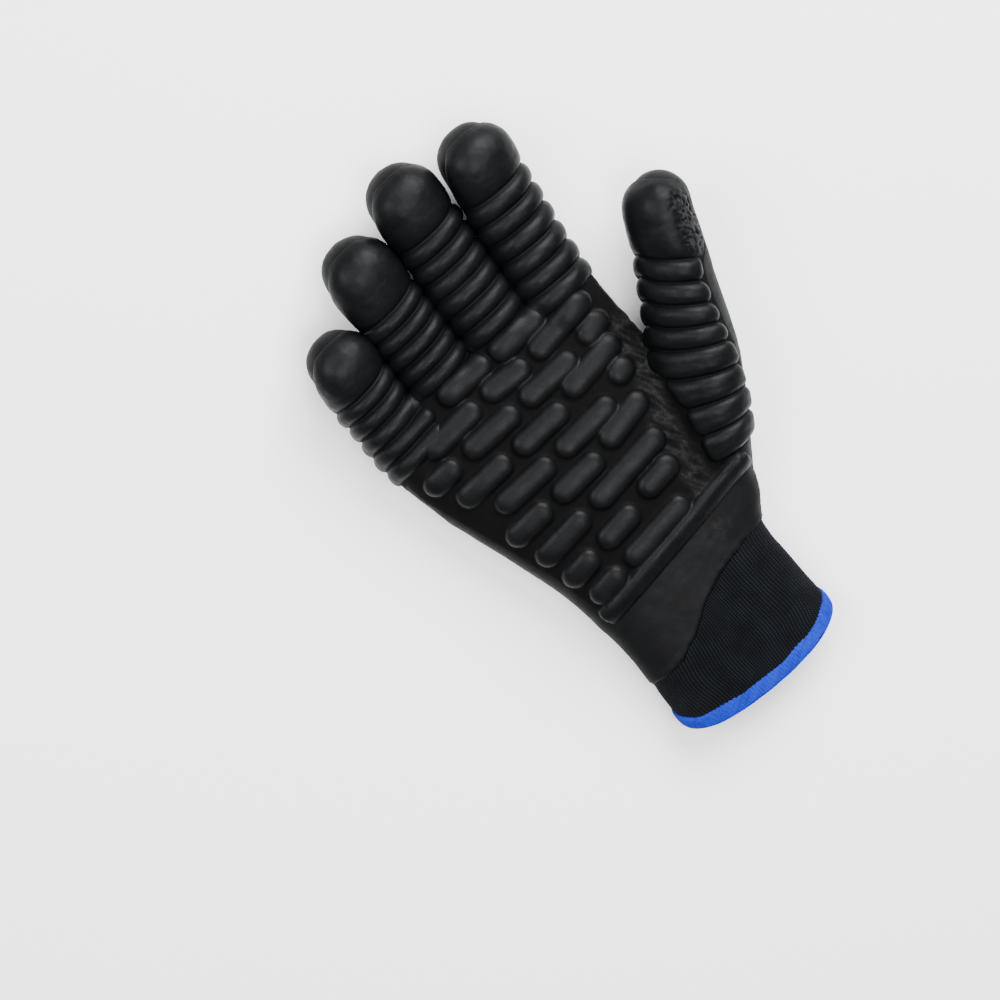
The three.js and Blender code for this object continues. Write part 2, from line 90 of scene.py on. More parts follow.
# The digits: root (shares of the palm), length and width (shares), lean, roll, curl, first groove and
# runs of ribs (shares of the length from the tip)
FINGERS = {
    "index": dict(
        root=(0.278, 0.85, 0.5), length=0.92, width=1.0,
        lean=7, roll=12, curl=1.0, groove=0.3, ribs=[(6, 0.9)],
    ),
    "middle": dict(
        root=(0.042, 0.87, 0.5), length=0.95, width=1.0,
        lean=3.4, roll=8, curl=1.0, groove=0.31, ribs=[(6, 0.85)],
    ),
    "ring": dict(
        root=(-0.2, 0.86, 0.5), length=0.855, width=0.98,
        lean=0.8, roll=5, curl=1.1, groove=0.38, ribs=[(5, 0.83)],
    ),
    "little": dict(
        root=(-0.446, 0.78, 0.48), length=0.715, width=0.92,
        lean=0.5, roll=8, curl=1.2, groove=0.36, ribs=[(5, 0.92)],
    ),
}
THUMB = dict(
    root=(0.325, 0.13, 0.5), length=1.0, width=1.0,
    lean=0, roll=0, curl=1.0, groove=0.24, ribs=[(4, 0.52), (4, 0.88)],
)

# Joints: place along, lean, pitch, roll, skew of the ribs, in degrees
FINGER_JOINTS = [(0.0, 0, 1, 0, 10), (0.3, 0, 6, 0, 10), (0.55, 0, 12, 0, 10), (0.8, 0, 18, 0, 10)]
THUMB_JOINTS = [
    (0.0, 22.5, 6, -6, 22),
    (0.3, 25.5, 8, -14, 6),
    (0.45, 25.5, 9, -24, -2),
    (0.64, 25, 8, -33, -12),
    (0.83, 22, 8, -38, -14),
]

# Sections of a digit: place along, then half width, palm side and back as shares of its width
FINGER_SECTIONS = [
    (0.0, 0.44, 0.42, 0.42),
    (0.2, 0.485, 0.45, 0.45),
    (0.4, 0.49, 0.44, 0.44),
    (0.6, 0.495, 0.43, 0.43),
    (0.8, 0.5, 0.43, 0.41),
]
THUMB_SECTIONS = [
    (0.0, 0.25, 0.2, 0.2),
    (0.12, 0.34, 0.34, 0.34),
    (0.25, 0.44, 0.42, 0.42),
    (0.42, 0.5, 0.43, 0.43),
    (0.6, 0.44, 0.41, 0.4),
    (0.75, 0.385, 0.38, 0.38),
    (0.86, 0.345, 0.36, 0.35),
]

# How far round a digit its ribs reach: share of the length from the tip, then degrees from the palm on
# the little finger's side and on the thumb's
RIB_REACH = {
    "index": [(0.0, 62, 84), (0.08, 68, 92), (0.2, 84, 102), (0.3, 90, 100), (0.9, 84, 100)],
    "middle": [(0.0, 62, 78), (0.08, 68, 84), (0.2, 84, 90), (0.3, 86, 88), (1.0, 84, 86)],
    "ring": [(0.0, 62, 78), (0.08, 68, 84), (0.2, 84, 90), (0.3, 86, 88), (1.0, 84, 86)],
    "little": [(0.0, 62, 78), (0.1, 70, 86), (0.25, 92, 90), (0.36, 104, 88), (1.0, 104, 84)],
    "thumb": [
        (0.0, 84, 96), (0.1, 96, 98), (0.2, 100, 98), (0.27, 84, 72), (0.5, 82, 72),
        (0.57, 60, 76), (0.655, 35, 80), (0.745, 26, 86), (0.835, 24, 90), (0.92, 22, 90),
    ],
}

# Edges of the coat: shares of the palm's width and length, and of its width and depth round the sides
BACK_COAT_EDGE = [(-1.0, 0.61), (-0.38, 0.61), (0.12, 0.6), (0.48, 0.59), (0.72, 0.38), (1.2, 0.38)]
PALM_COAT_EDGE = [
    (-1.0, -0.17), (-0.28, -0.18), (-0.19, -0.167), (-0.105, -0.131), (-0.005, -0.071),
    (0.103, -0.032), (0.228, -0.008), (0.345, 0.002), (1.2, 0.002),
]
SIDE_COAT_EDGE = [(-1.0, 0.45), (0.33, 0.45), (0.75, 0.85), (1.2, 0.85)]

# Pads across the palm, in millimetres from the wrist: x, y to x, y
PADS = [
    (-30, 122.5, -5, 124), (-3, 122.8, 23.4, 124.8),
    (-48, 109.6, -20, 112.5), (-16, 113.3, 6, 112.3), (9.5, 113, 41, 118),
    (-57, 98, -41, 99.5), (-36, 100, -9, 101), (-5.5, 101.5, 22.5, 102.5), (28, 104.5, 42, 107.5),
    (-50, 86.2, -24, 88), (-20, 88.3, 6.5, 89.3), (10, 92.8, 39.5, 97.2),
    (-40, 74.6, -11.5, 76.2), (-7.5, 76.5, 22.8, 79), (27.5, 84.3, 37.8, 87.2),
    (-45, 61, -24, 63), (-20, 63.4, 4.6, 65), (8.5, 67.2, 33.3, 73),
    (-41, 46.9, -14.5, 50.7), (-10.2, 51.5, 29.2, 57),
    (-38, 33, -22, 36), (-18, 36.8, 1.9, 39.6), (7.4, 42.2, 26.5, 45.2),
    (-34, 20.5, -18, 23.4), (-14.2, 24.2, 19.8, 29),
]
PAD_HALF = 5.6
HEEL_RIDGE = [(-34, 13, -9.3, 18), (-9.3, 18, 26.4, 24.1), (26.4, 24.1, 46, 27)]
# The palm's moulded sheet: its outline, in shares of the palm
PALM_SHEET = [
    (-0.3, 0.054), (0.43, 0.166), (0.43, 0.99), (0.36, 1.03),
    (-0.5, 1.03), (-0.56, 0.96), (-0.53, 0.72), (-0.36, 0.3),
]
# The valley beside the ball of the thumb, where the thin sheet is drawn into strands: x, y to x, y
VALLEY = [
    (44.7, 98, 40.7, 78), (40.7, 78, 35.6, 68), (35.6, 68, 31.5, 56), (31.5, 56, 29.6, 42),
    (29.6, 42, 28, 28),
]


# Curves through the tables
def through(rows, at):
    """The row of a table at a place along it, on a smooth curve through its rows."""
    if at <= rows[0][0]:
        return rows[0]
    if at >= rows[-1][0]:
        return rows[-1]
    i = next(k for k in range(len(rows) - 1) if rows[k + 1][0] >= at)
    a, b = rows[i], rows[i + 1]
    before, after = rows[max(i - 1, 0)], rows[min(i + 2, len(rows) - 1)]
    span = b[0] - a[0]
    t = (at - a[0]) / span
    values = []
    for p, q, r, s in zip(before, a, b, after):
        from_slope = (r - p) / max(b[0] - before[0], 1e-6) * span
        to_slope = (s - q) / max(after[0] - a[0], 1e-6) * span
        values.append(
            q * (2 * t**3 - 3 * t**2 + 1)
            + from_slope * (t**3 - 2 * t**2 + t)
            + r * (3 * t**2 - 2 * t**3)
            + to_slope * (t**3 - t**2)
        )
    return values


def line_at(points, x):
    """The height of a polyline over x."""
    for (x0, y0), (x1, y1) in zip(points, points[1:]):
        if x <= x1:
            return y0 + (y1 - y0) * (x - x0) / (x1 - x0)
    return points[-1][1]


def oval(angle, square):
    """Across and up on a rounded oval: 2 is an ellipse, and more is squarer."""
    power = 2 / square
    across = math.copysign(abs(math.cos(angle)) ** power, math.cos(angle))
    up = math.copysign(abs(math.sin(angle)) ** power, math.sin(angle))
    return across, up


def smooth_step(value, low, high):
    """0 below low, 1 above high, and a soft rise between."""
    t = min(1.0, max(0.0, (value - low) / (high - low)))
    return t * t * (3 - 2 * t)


def in_millimetres(rows, length, width, depth):
    sizes = (length, width, width, depth, depth, 1, 1)
    return [tuple(share * size for share, size in zip(row, sizes)) for row in rows]


BODY = in_millimetres(CUFF, CUFF_LENGTH, CUFF_WIDTH, CUFF_DEPTH)
BODY += in_millimetres(PALM, PALM_LENGTH, PALM_WIDTH, PALM_DEPTH)


def body_point(y, turn, offset=0.0, scale=1.0):
    """A point of cuff and palm. turn is from 0 to 1, from the thumb side over the palm."""
    _, left, right, back, front, slant, square = through(BODY, y)
    across, up = oval(turn * 2 * math.pi, square)
    x = (left + right) / 2 + across * ((right - left) / 2 + offset) * scale
    z = (back + front) / 2 + up * ((front - back) / 2 + offset) * scale
    bow = -PALM_EDGE_DROP * up if up > 0 else -BACK_EDGE_RISE * up
    return Vector((x, y + bow * slant * scale, max(z, 0.0)))


def knit_edge(point):
    """Where the knit ends along the cuff, at the height of that point."""
    _, _, _, back, front, _, _ = through(BODY, -CUFF_LENGTH)
    up = max(-1.0, min(1.0, (point.z - (back + front) / 2) / ((front - back) / 2)))
    return -CUFF_LENGTH + (-PALM_EDGE_DROP * up if up > 0 else -BACK_EDGE_RISE * up)


class Digit:
    """A finger or the thumb: its centre line, its turning and its sections."""

    def __init__(self, name, facts, joints, sections, length, width):
        self.name = name
        self.reach = facts["length"] * length
        self.width = facts["width"] * width
        self.sections = sections
        self.groove = facts["groove"] * self.reach
        self.ribs = facts["ribs"]
        self.reaches = RIB_REACH[name]
        self.turns = [(at, roll + facts["roll"], skew) for at, _, _, roll, skew in joints]
        x, y, z = facts["root"]
        place = Vector((x * PALM_WIDTH, y * PALM_LENGTH, z * PALM_DEPTH))
        self.line = [(0.0, *place)]
        ends = [joint[0] for joint in joints[1:]] + [1.0]
        for (at, lean, pitch, _, _), end in zip(joints, ends):
            lean = math.radians(lean + facts["lean"])
            pitch = math.radians(pitch * facts["curl"])
            level = math.cos(pitch)
            step = Vector((math.sin(lean) * level, math.cos(lean) * level, math.sin(pitch)))
            place = place + step * (end - at) * self.reach
            self.line.append((end * self.reach, *place))
        self.dome = self.width * sections[-1][1]

    def frame(self, along):
        """Centre, forward, thumb side and palm side at a place along the digit."""
        inside = min(max(along, 0.0), self.reach)
        centre = Vector(through(self.line, inside)[1:])
        ahead = Vector(through(self.line, min(inside + 0.5, self.reach))[1:])
        behind = Vector(through(self.line, max(inside - 0.5, 0.0))[1:])
        forward = (ahead - behind).normalized()
        centre += forward * (along - inside)
        level = forward.cross(Vector((0, 0, 1))).normalized()
        roll = through(self.turns, inside / self.reach)[1]
        side = Matrix.Rotation(math.radians(roll), 3, forward) @ level
        return centre, forward, side, side.cross(forward)

    def point(self, along, angle, offset=0.0):
        """A point of the skin: angle in degrees from the palm side, towards the thumb."""
        centre, _, side, palm = self.frame(along)
        into_dome = max(0.0, along - (self.reach - self.dome)) / (self.dome + offset)
        closing = math.sqrt(max(0.0, 1 - into_dome**2))
        across, up = oval(math.radians(90 - angle), 2.3)
        _, half, palm_side, back = through(self.sections, along / self.reach)
        depth = palm_side if up > 0 else back
        spot = centre + side * across * (half * self.width + offset) * closing
        spot += palm * up * (depth * self.width + offset) * closing
        spot.z = max(spot.z, 0.0)
        return spot

    def roll(self, along):
        return through(self.turns, along / self.reach)[1]

    def skew(self, along):
        return math.radians(through(self.turns, along / self.reach)[2])


DIGITS = [Digit("thumb", THUMB, THUMB_JOINTS, THUMB_SECTIONS, THUMB_LENGTH, THUMB_WIDTH)]
for name, facts in FINGERS.items():
    DIGITS.append(Digit(name, facts, FINGER_JOINTS, FINGER_SECTIONS, FINGER_LENGTH, FINGER_WIDTH))


# Making meshes
def add_loft(bm, rows, columns, place):
    """A grid wrapped to a shape: place(row, turn) gives each point."""
    made = bmesh.ops.create_grid(bm, x_segments=columns, y_segments=len(rows) - 1, size=0.5)["verts"]
    for vert in made:
        row = rows[round((vert.co.y + 0.5) * (len(rows) - 1))]
        vert.co = place(row, vert.co.x + 0.5)
    bmesh.ops.remove_doubles(bm, verts=made, dist=1e-4)
    return made


def key_of(spot):
    """A point's key, by which a sheet's points are found again after doubles are merged."""
    return round(spot.x, 3), round(spot.y, 3), round(spot.z, 3)


def object_from(bm, name):
    mesh = bpy.data.meshes.new(name)
    bm.to_mesh(mesh)
    bm.free()
    made = bpy.data.objects.new(name, mesh)
    bpy.context.scene.collection.objects.link(made)
    return made


def merged_form(bm, voxel):
    """The closed shapes in bm grown together into one skin."""
    rough = object_from(bm, "rough")
    modifier = rough.modifiers.new("grow_together", "REMESH")
    modifier.mode = "VOXEL"
    modifier.voxel_size = voxel
    grown = rough.evaluated_get(bpy.context.evaluated_depsgraph_get())
    mesh = bpy.data.meshes.new_from_object(grown)
    bpy.data.objects.remove(rough)
    result = bmesh.new()
    result.from_mesh(mesh)
    bpy.data.meshes.remove(mesh)
    return result


def relax(bm, verts, times, factor=0.5):
    """Smooths the points along all three axes."""
    axes = dict(use_axis_x=True, use_axis_y=True, use_axis_z=True)
    for _ in range(times):
        bmesh.ops.smooth_vert(bm, verts=verts, factor=factor, **axes)


def finished(bm, name, node, material, wall=0.0):
    """Puts a shape in the CAD frame as a piece that stands for its node."""
    bmesh.ops.translate(bm, verts=bm.verts, vec=-MIDDLE)
    bmesh.ops.scale(bm, verts=bm.verts, vec=(MM, MM, MM))
    piece = object_from(bm, name)
    for polygon in piece.data.polygons:
        polygon.use_smooth = True
    piece.data.materials.append(material)
    if wall:
        thick = piece.modifiers.new("wall", "SOLIDIFY")
        thick.thickness = wall * MM
        thick.offset = -1
        thick.use_even_offset = False
    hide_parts(node)
    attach(piece, "root")
    return piece


# The hand: cuff, palm and digits as one skin
def hand_form():
    bm = bmesh.new()
    spare, step = 8, 3  # the form starts this far before the knit edge, which is cut later
    start = -CUFF_LENGTH - spare
    ys = list(range(start, PALM_LENGTH, step)) + [PALM_LENGTH]
    # a row pulled to a point closes each end
    rows = [(ys[0], 0.0)] + [(y, 1.0) for y in ys] + [(ys[-1], 0.0)]
    add_loft(bm, rows, 120, lambda row, turn: body_point(row[0], turn, SKIN_GROWTH, row[1]))
    for digit in DIGITS:
        straight = [share / 20 * (digit.reach - digit.dome) for share in range(21)]
        dome = digit.dome + SKIN_GROWTH
        rises = [math.radians(rise) for rise in range(6, 91, 6)]
        domed = [digit.reach - digit.dome + dome * math.sin(rise) for rise in rises]
        rows = [None] + straight + domed

        def place(along, turn, digit=digit):
            if along is None:
                return digit.frame(-0.5 * digit.width)[0]
            return digit.point(along, turn * 360, SKIN_GROWTH)

        add_loft(bm, rows, 64, place)
    bmesh.ops.recalc_face_normals(bm, faces=bm.faces)
    skin = merged_form(bm, VOXEL)
    relax(skin, skin.verts, 14)
    skin.normal_update()
    for vert in skin.verts:
        # the soft dents and swellings of a dipped glove laid down by hand
        slow = noise.noise(vert.co / 17.0) * 0.45
        quick = noise.noise(vert.co / 6.0 + Vector((9, 4, 2))) * 0.12
        vert.co += vert.normal * (0.15 + slow + quick)  # 0.15 makes up for what smoothing took
        vert.co.z = max(vert.co.z, 0.0)
    skin.normal_update()
    return skin


hand = hand_form()
hand_tree = BVHTree.FromBMesh(hand)


def coat_cover(spot):
    """How far a point lies inside the coat's edge, in millimetres."""
    x = spot.x / PALM_WIDTH
    ragged = noise.noise(Vector((spot.x / 5.0, spot.z / 5.0, 3.0))) * 0.5
    over_back = spot.y - line_at(BACK_COAT_EDGE, x) * PALM_LENGTH
    over_palm = spot.y - line_at(PALM_COAT_EDGE, x) * PALM_LENGTH
    above = spot.z - line_at(SIDE_COAT_EDGE, x) * PALM_DEPTH
    return max(over_back, min(over_palm, above)) + ragged


def knit_cover(spot):
    """How far a point lies inside the knit: past its edge, and not too far under the coat."""
    return min(KNIT_UNDER_COAT - coat_cover(spot), spot.y - knit_edge(spot))


def cut_to(bm, cover):
    """Keeps the faces inside cover, and draws their rim onto its edge."""
    outside = [face for face in bm.faces if cover(face.calc_center_median()) < 0]
    bmesh.ops.delete(bm, geom=outside, context="FACES")
    bm.normal_update()
    nudge, longest, level = 0.2, 1.2, 0.05  # below level the cover is too flat to follow
    steps = (Vector((nudge, 0, 0)), Vector((0, nudge, 0)), Vector((0, 0, nudge)))
    rim = [vert for vert in bm.verts if vert.is_boundary]
    for vert in rim:
        for _ in range(2):
            depth = cover(vert.co)
            slope = Vector([(cover(vert.co + step) - depth) / nudge for step in steps])
            slope -= vert.normal * slope.dot(vert.normal)
            if slope.length_squared > level:
                move = slope * (-depth / slope.length_squared)
                vert.co += move * min(1.0, longest / max(move.length, 1e-6))
        vert.co = hand_tree.find_nearest(vert.co)[0]
    beside = {edge.other_vert(vert) for vert in rim for edge in vert.link_edges} - set(rim)
    relax(bm, list(beside), 3)
    bm.normal_update()
    return rim


# Materials
def linear(code):
    """A linear colour from an sRGB hex value."""
    parts = [int(code[k : k + 2], 16) / 255 for k in (0, 2, 4)]
    return [part / 12.92 if part <= 0.04045 else ((part + 0.055) / 1.055) ** 2.4 for part in parts] + [1.0]


def grey(value):
    return [value, value, value, 1.0]


def spots(size):
    """The scale of a noise whose spots are about that many millimetres across."""
    return 1 / (size * MM)


def add_node(tree, kind, settings=None, links=None):
    """A node with its settings (properties, a ramp's stops, or sockets by name or number) and the links
    into it, each from a socket or from a node's first live output."""
    made = tree.nodes.new(kind)
    for name, value in (settings or {}).items():
        if name == "stops":
            ramp = made.color_ramp.elements
            ramp[0].position, ramp[0].color = value[0]
            ramp[1].position, ramp[1].color = value[-1]
            for position, colour in value[1:-1]:
                ramp.new(position).color = colour
        elif isinstance(name, str) and hasattr(made, name):
            setattr(made, name, value)
        else:
            made.inputs[name].default_value = value
    for name, source in (links or {}).items():
        if isinstance(source, bpy.types.Node):
            source = next(socket for socket in source.outputs if socket.enabled)
        tree.links.new(source, made.inputs[name])
    return made


def new_material(name):
    material = bpy.data.materials.new(name)
    material.use_nodes = True
    tree = material.node_tree
    tree.nodes.clear()
    return material, tree


NOISE, MATH, RAMP, MIX = "ShaderNodeTexNoise", "ShaderNodeMath", "ShaderNodeValToRGB", "ShaderNodeMix"
SHARE, FIRST, SECOND = 0, 6, 7  # the sockets of a colour mix


def chloroprene(name, low, high, rough_low, rough_high, grain, moulded):
    """Chloroprene rubber, dipped or moulded and cured: near black, a leathery skin with a soft shine.
    Its real grain is some 0.3 mm and is drawn at about 1 and 4 mm, so that it shows."""
    material, tree = new_material(name)
    place = {"Vector": add_node(tree, "ShaderNodeTexCoord").outputs["Object"]}
    cloud = add_node(tree, NOISE, {"Scale": spots(14.3), "Detail": 3.0, "Roughness": 0.6}, place)
    skin = add_node(tree, NOISE, {"Scale": spots(1.111), "Detail": 2.0, "Roughness": 0.6}, place)
    mottle = add_node(tree, NOISE, {"Scale": spots(3.85), "Detail": 3.0, "Roughness": 0.65}, place)
    colour = add_node(tree, RAMP, {"stops": [(0.3, linear(low)), (0.72, linear(high))]}, {"Fac": cloud})
    rough = add_node(
        tree, RAMP, {"stops": [(0.3, grey(rough_low)), (0.75, grey(rough_high))]}, {"Fac": mottle}
    )
    if moulded:
        # painted shade: where the crown is low, in the grooves, the colour is darkened to near black to
        # stand for the shade deep in them, and the grooves are made rough
        crown = add_node(tree, "ShaderNodeAttribute", {"attribute_name": "crown"}).outputs["Fac"]
        groove = add_node(tree, RAMP, {"stops": [(0.22, grey(0.0)), (0.6, grey(1.0))]}, {"Fac": crown})
        # painted shade: the near-black colour of the grooves
        colour = add_node(
            tree, MIX, {"data_type": "RGBA", FIRST: linear("010101")}, {SHARE: groove, SECOND: colour}
        )
        rough = add_node(tree, MIX, {"data_type": "RGBA", FIRST: grey(0.85)}, {SHARE: groove, SECOND: rough})
        # worn places are scraped to a dull grey, in specks of about 1.4 mm
        worn = add_node(tree, "ShaderNodeAttribute", {"attribute_name": "worn"}).outputs["Fac"]
        speck = add_node(tree, NOISE, {"Scale": spots(1.43), "Detail": 3.0, "Roughness": 0.7}, place)
        strong = add_node(tree, MATH, {"operation": "MULTIPLY", 1: 1.5}, {0: speck})
        patchy = add_node(tree, MATH, {"operation": "MULTIPLY"}, {0: worn, 1: strong})
        marks = add_node(tree, RAMP, {"stops": [(0.3, grey(0.0)), (0.85, grey(1.0))]}, {"Fac": patchy})
        marked, dulled = "232222", 0.8
    else:
        # the heel of the hand rubs on tools and benches: faint grey scuffs some 3 mm long in the skin
        rubbed = add_node(tree, "ShaderNodeAttribute", {"attribute_name": "rubbed"}).outputs["Fac"]
        scuff = add_node(tree, NOISE, {"Scale": spots(3.03), "Detail": 4.0, "Roughness": 0.75}, place)
        patchy = add_node(tree, MATH, {"operation": "MULTIPLY"}, {0: rubbed, 1: scuff})
        marks = add_node(tree, RAMP, {"stops": [(0.36, grey(0.0)), (0.62, grey(1.0))]}, {"Fac": patchy})
        marked, dulled = "161616", 0.75
    colour = add_node(
        tree, MIX, {"data_type": "RGBA", SECOND: linear(marked)}, {SHARE: marks, FIRST: colour}
    )
    rough = add_node(tree, MIX, {"data_type": "RGBA", SECOND: grey(dulled)}, {SHARE: marks, FIRST: rough})
    fine = add_node(tree, "ShaderNodeBump", {"Strength": grain, "Distance": 0.1 * MM}, {"Height": skin})
    coarse = add_node(
        tree, "ShaderNodeBump", {"Strength": 0.35, "Distance": 0.25 * MM}, {"Height": mottle, "Normal": fine}
    )
    shader = add_node(
        tree,
        "ShaderNodeBsdfPrincipled",
        {"IOR": 1.42, "Specular IOR Level": 0.11},
        {"Base Color": colour, "Roughness": rough, "Normal": coarse},
    )
    add_node(tree, "ShaderNodeOutputMaterial", links={"Surface": shader})
    return material


def rib_knit(name):
    """Acrylic and cotton knit in a fine rib: upright wales of slanted loops, dull and slightly fuzzy."""
    material, tree = new_material(name)
    stitches = add_node(tree, "ShaderNodeUVMap", {"uv_map": "stitches"})
    parts = add_node(tree, "ShaderNodeSeparateXYZ", links={"Vector": stitches})
    # 1 on the line between two wales and 0 on the middle of one; a wale is round, and its loops slant
    wale = add_node(tree, MATH, {"operation": "FRACT"}, {0: parts.outputs["X"]})
    sides = add_node(tree, MATH, {"operation": "MULTIPLY_ADD", 1: 2.0, 2: -1.0}, {0: wale})
    side = add_node(tree, MATH, {"operation": "ABSOLUTE"}, {0: sides})
    steep = add_node(tree, MATH, {"operation": "POWER", 1: 2.2}, {0: side})
    round_wale = add_node(tree, MATH, {"operation": "SUBTRACT", 0: 1.0}, {1: steep})
    slant = add_node(
        tree, MATH, {"operation": "MULTIPLY_ADD", 1: 0.55}, {0: side, 2: parts.outputs["Y"]}
    )
    turns = add_node(tree, MATH, {"operation": "MULTIPLY", 1: 2 * math.pi}, {0: slant})
    loop = add_node(tree, MATH, {"operation": "SINE"}, {0: turns})
    raised_loop = add_node(tree, MATH, {"operation": "MULTIPLY_ADD", 1: 0.32, 2: 0.68}, {0: loop})
    loops = add_node(tree, MATH, {"operation": "MULTIPLY"}, {0: raised_loop, 1: round_wale})
    place = {"Vector": add_node(tree, "ShaderNodeTexCoord").outputs["Object"]}
    fuzz = add_node(tree, NOISE, {"Scale": spots(0.4545), "Detail": 2.0}, place)
    patches = add_node(tree, NOISE, {"Scale": spots(8.33), "Detail": 3.0}, place)
    height = add_node(tree, MATH, {"operation": "MULTIPLY_ADD", 1: 0.25}, {0: fuzz, 2: loops})
    lit = add_node(tree, MATH, {"operation": "ADD", 1: 0.45}, {0: patches})
    # painted shade: the colour follows the loops, darker between wales and in the loops' dips as their
    # relief would be shaded; the patches vary the tone at random
    shade = add_node(tree, MATH, {"operation": "MULTIPLY"}, {0: loops, 1: lit})
    stops = [(0.1, linear("000001")), (0.55, linear("050608")), (0.95, linear("14181f"))]
    colour = add_node(tree, RAMP, {"stops": stops}, {"Fac": shade})
    bump = add_node(tree, "ShaderNodeBump", {"Strength": 0.8, "Distance": 0.5 * MM}, {"Height": height})
    shader = add_node(
        tree,
        "ShaderNodeBsdfPrincipled",
        {"Roughness": 0.92, "Sheen Weight": 0.01, "Sheen Roughness": 0.6, "Specular IOR Level": 0.06},
        {"Base Color": colour, "Normal": bump},
    )
    add_node(tree, "ShaderNodeOutputMaterial", links={"Surface": shader})
    return material


def overlock_yarn(name):
    """Textured polyester overlock yarn: bright blue and fuzzy. Its colour is paler where the threads stand
    proud, a painted highlight, and darker at the inner edge, a painted shade.
    """
    material, tree = new_material(name)
    place = {"Vector": add_node(tree, "ShaderNodeTexCoord").outputs["Object"]}
    proud = add_node(tree, "ShaderNodeAttribute", {"attribute_name": "thread"}).outputs["Fac"]
    fuzz = add_node(tree, NOISE, {"Scale": spots(0.5556), "Detail": 3.0}, place)
    patches = add_node(tree, NOISE, {"Scale": spots(4.17), "Detail": 2.0}, place)
    uneven = add_node(tree, MATH, {"operation": "MULTIPLY", 1: 0.3}, {0: patches})
    # painted highlight: the proud threads get the paler colours; the patches vary the tone at random
    shade = add_node(tree, MATH, {"operation": "MULTIPLY_ADD", 1: 0.75}, {0: proud, 2: uneven})
    stops = [(0.1, linear("020432")), (0.45, linear("061674")), (0.95, linear("122e9e"))]
    colour = add_node(tree, RAMP, {"stops": stops}, {"Fac": shade})
    bump = add_node(tree, "ShaderNodeBump", {"Strength": 0.5, "Distance": 0.3 * MM}, {"Height": fuzz})
    shader = add_node(
        tree,
        "ShaderNodeBsdfPrincipled",
        {"Roughness": 0.9, "Sheen Weight": 0.03, "Sheen Roughness": 0.5, "Specular IOR Level": 0.1},
        {"Base Color": colour, "Normal": bump},
    )
    add_node(tree, "ShaderNodeOutputMaterial", links={"Surface": shader})
    return material


coat_rubber = chloroprene("dipped_chloroprene", "040405", "090a0b", 0.5, 0.64, 0.5, moulded=False)
rib_rubber = chloroprene("moulded_chloroprene", "040506", "0a0b0d", 0.35, 0.5, 0.35, moulded=True)
knit_fabric = rib_knit("rib_knit")
hem_yarn = overlock_yarn("overlock_yarn")


# The dipped coat
def rubber_coat():
    """The skin down to the coat's edge, creased and scuffed at the heel, with a thick soft edge."""
    bm = hand.copy()
    rubbed = bm.verts.layers.float.new("rubbed")
    rim = cut_to(bm, coat_cover)
    bead, tuck = 0.28, 0.75
    for vert in bm.verts:
        inside = coat_cover(vert.co)
        # the scuffed place on the heel of the hand, 20 by 10 mm about its middle
        to_rub = math.hypot((vert.co.x - 20) / 20, (vert.co.y - 10) / 10)
        vert[rubbed] = 0.85 * (1 - smooth_step(to_rub, 0.2, 1.3)) * smooth_step(vert.co.z, 12, 18)
        heel = smooth_step(vert.co.z, 15, 22) * (1 - smooth_step(vert.co.y, 12, 24))
        fold = noise.noise(Vector((vert.co.x / 9 + vert.co.y / 6, vert.co.y / 2.6 - vert.co.x / 9, 2.0)))
        crease = noise.noise(vert.co / 3.2 + Vector((0, 0, 8)))
        near_edge = 1 - smooth_step(inside, 0.5, 4.0)
        vert.co += vert.normal * (heel * (0.1 * fold + 0.08 * crease) + bead * near_edge)
        vert.co.z = max(vert.co.z, 0.0)
    for vert in rim:  # the rim turns down into the knit
        vert.co -= vert.normal * tuck
        vert.co.z = max(vert.co.z, 0.0)
    return finished(bm, "coat", "rubber_coat", coat_rubber, COAT_WALL)


# The knit, with its stitches counted round the hand and along it
STATION_STEP, STEPS_ROUND = 6, 96
STATIONS = [-CUFF_LENGTH + STATION_STEP * k for k in range(27)]


def girths():
    """Share of the length round the hand at each station, in steps, from the middle of the back."""
    table = []
    for y in STATIONS:
        ring = [body_point(y, k / STEPS_ROUND - 0.25) for k in range(STEPS_ROUND + 1)]
        sums = [0.0]
        for a, b in zip(ring, ring[1:]):
            sums.append(sums[-1] + math.hypot(b.x - a.x, b.z - a.z))
        table.append([part / sums[-1] for part in sums])
    return table


GIRTHS = girths()


def share_round(spot):
    """How far round the hand a point lies, from 0 to 1, between the girths of two stations."""
    _, left, right, back, front, _, _ = through(BODY, spot.y)
    across = (spot.x - (left + right) / 2) / (right - left)
    up = (spot.z - (back + front) / 2) / (front - back)
    turn = (math.atan2(up, across) / (2 * math.pi) + 0.25) % 1.0
    k = max(0, min(len(STATIONS) - 2, int((spot.y - STATIONS[0]) / STATION_STEP)))
    share = max(0.0, min(1.0, (spot.y - STATIONS[k]) / STATION_STEP))
    low, part = int(turn * STEPS_ROUND), turn * STEPS_ROUND % 1
    high = min(low + 1, STEPS_ROUND)
    before, after = [row[low] + (row[high] - row[low]) * part for row in GIRTHS[k : k + 2]]
    return (1 - share) * before + share * after


def knit_liner():
    """The skin under the coat's edge and down the cuff, with a map of its stitches."""
    bm = hand.copy()
    cut_to(bm, knit_cover)
    for vert in bm.verts:
        vert.co -= vert.normal * KNIT_SINK
    layer = bm.loops.layers.uv.new("stitches")
    shares = {vert: share_round(vert.co) for vert in bm.verts}
    for face in bm.faces:
        highest = max(shares[vert] for vert in face.verts)
        for loop in face.loops:
            share = shares[loop.vert]
            if highest - share > 0.5:  # the face spans the line where the count starts
                share += 1.0
            loop[layer].uv = (share * WALES, loop.vert.co.y / COURSE)
    return finished(bm, "knit", "knit_liner", knit_fabric, KNIT_WALL)


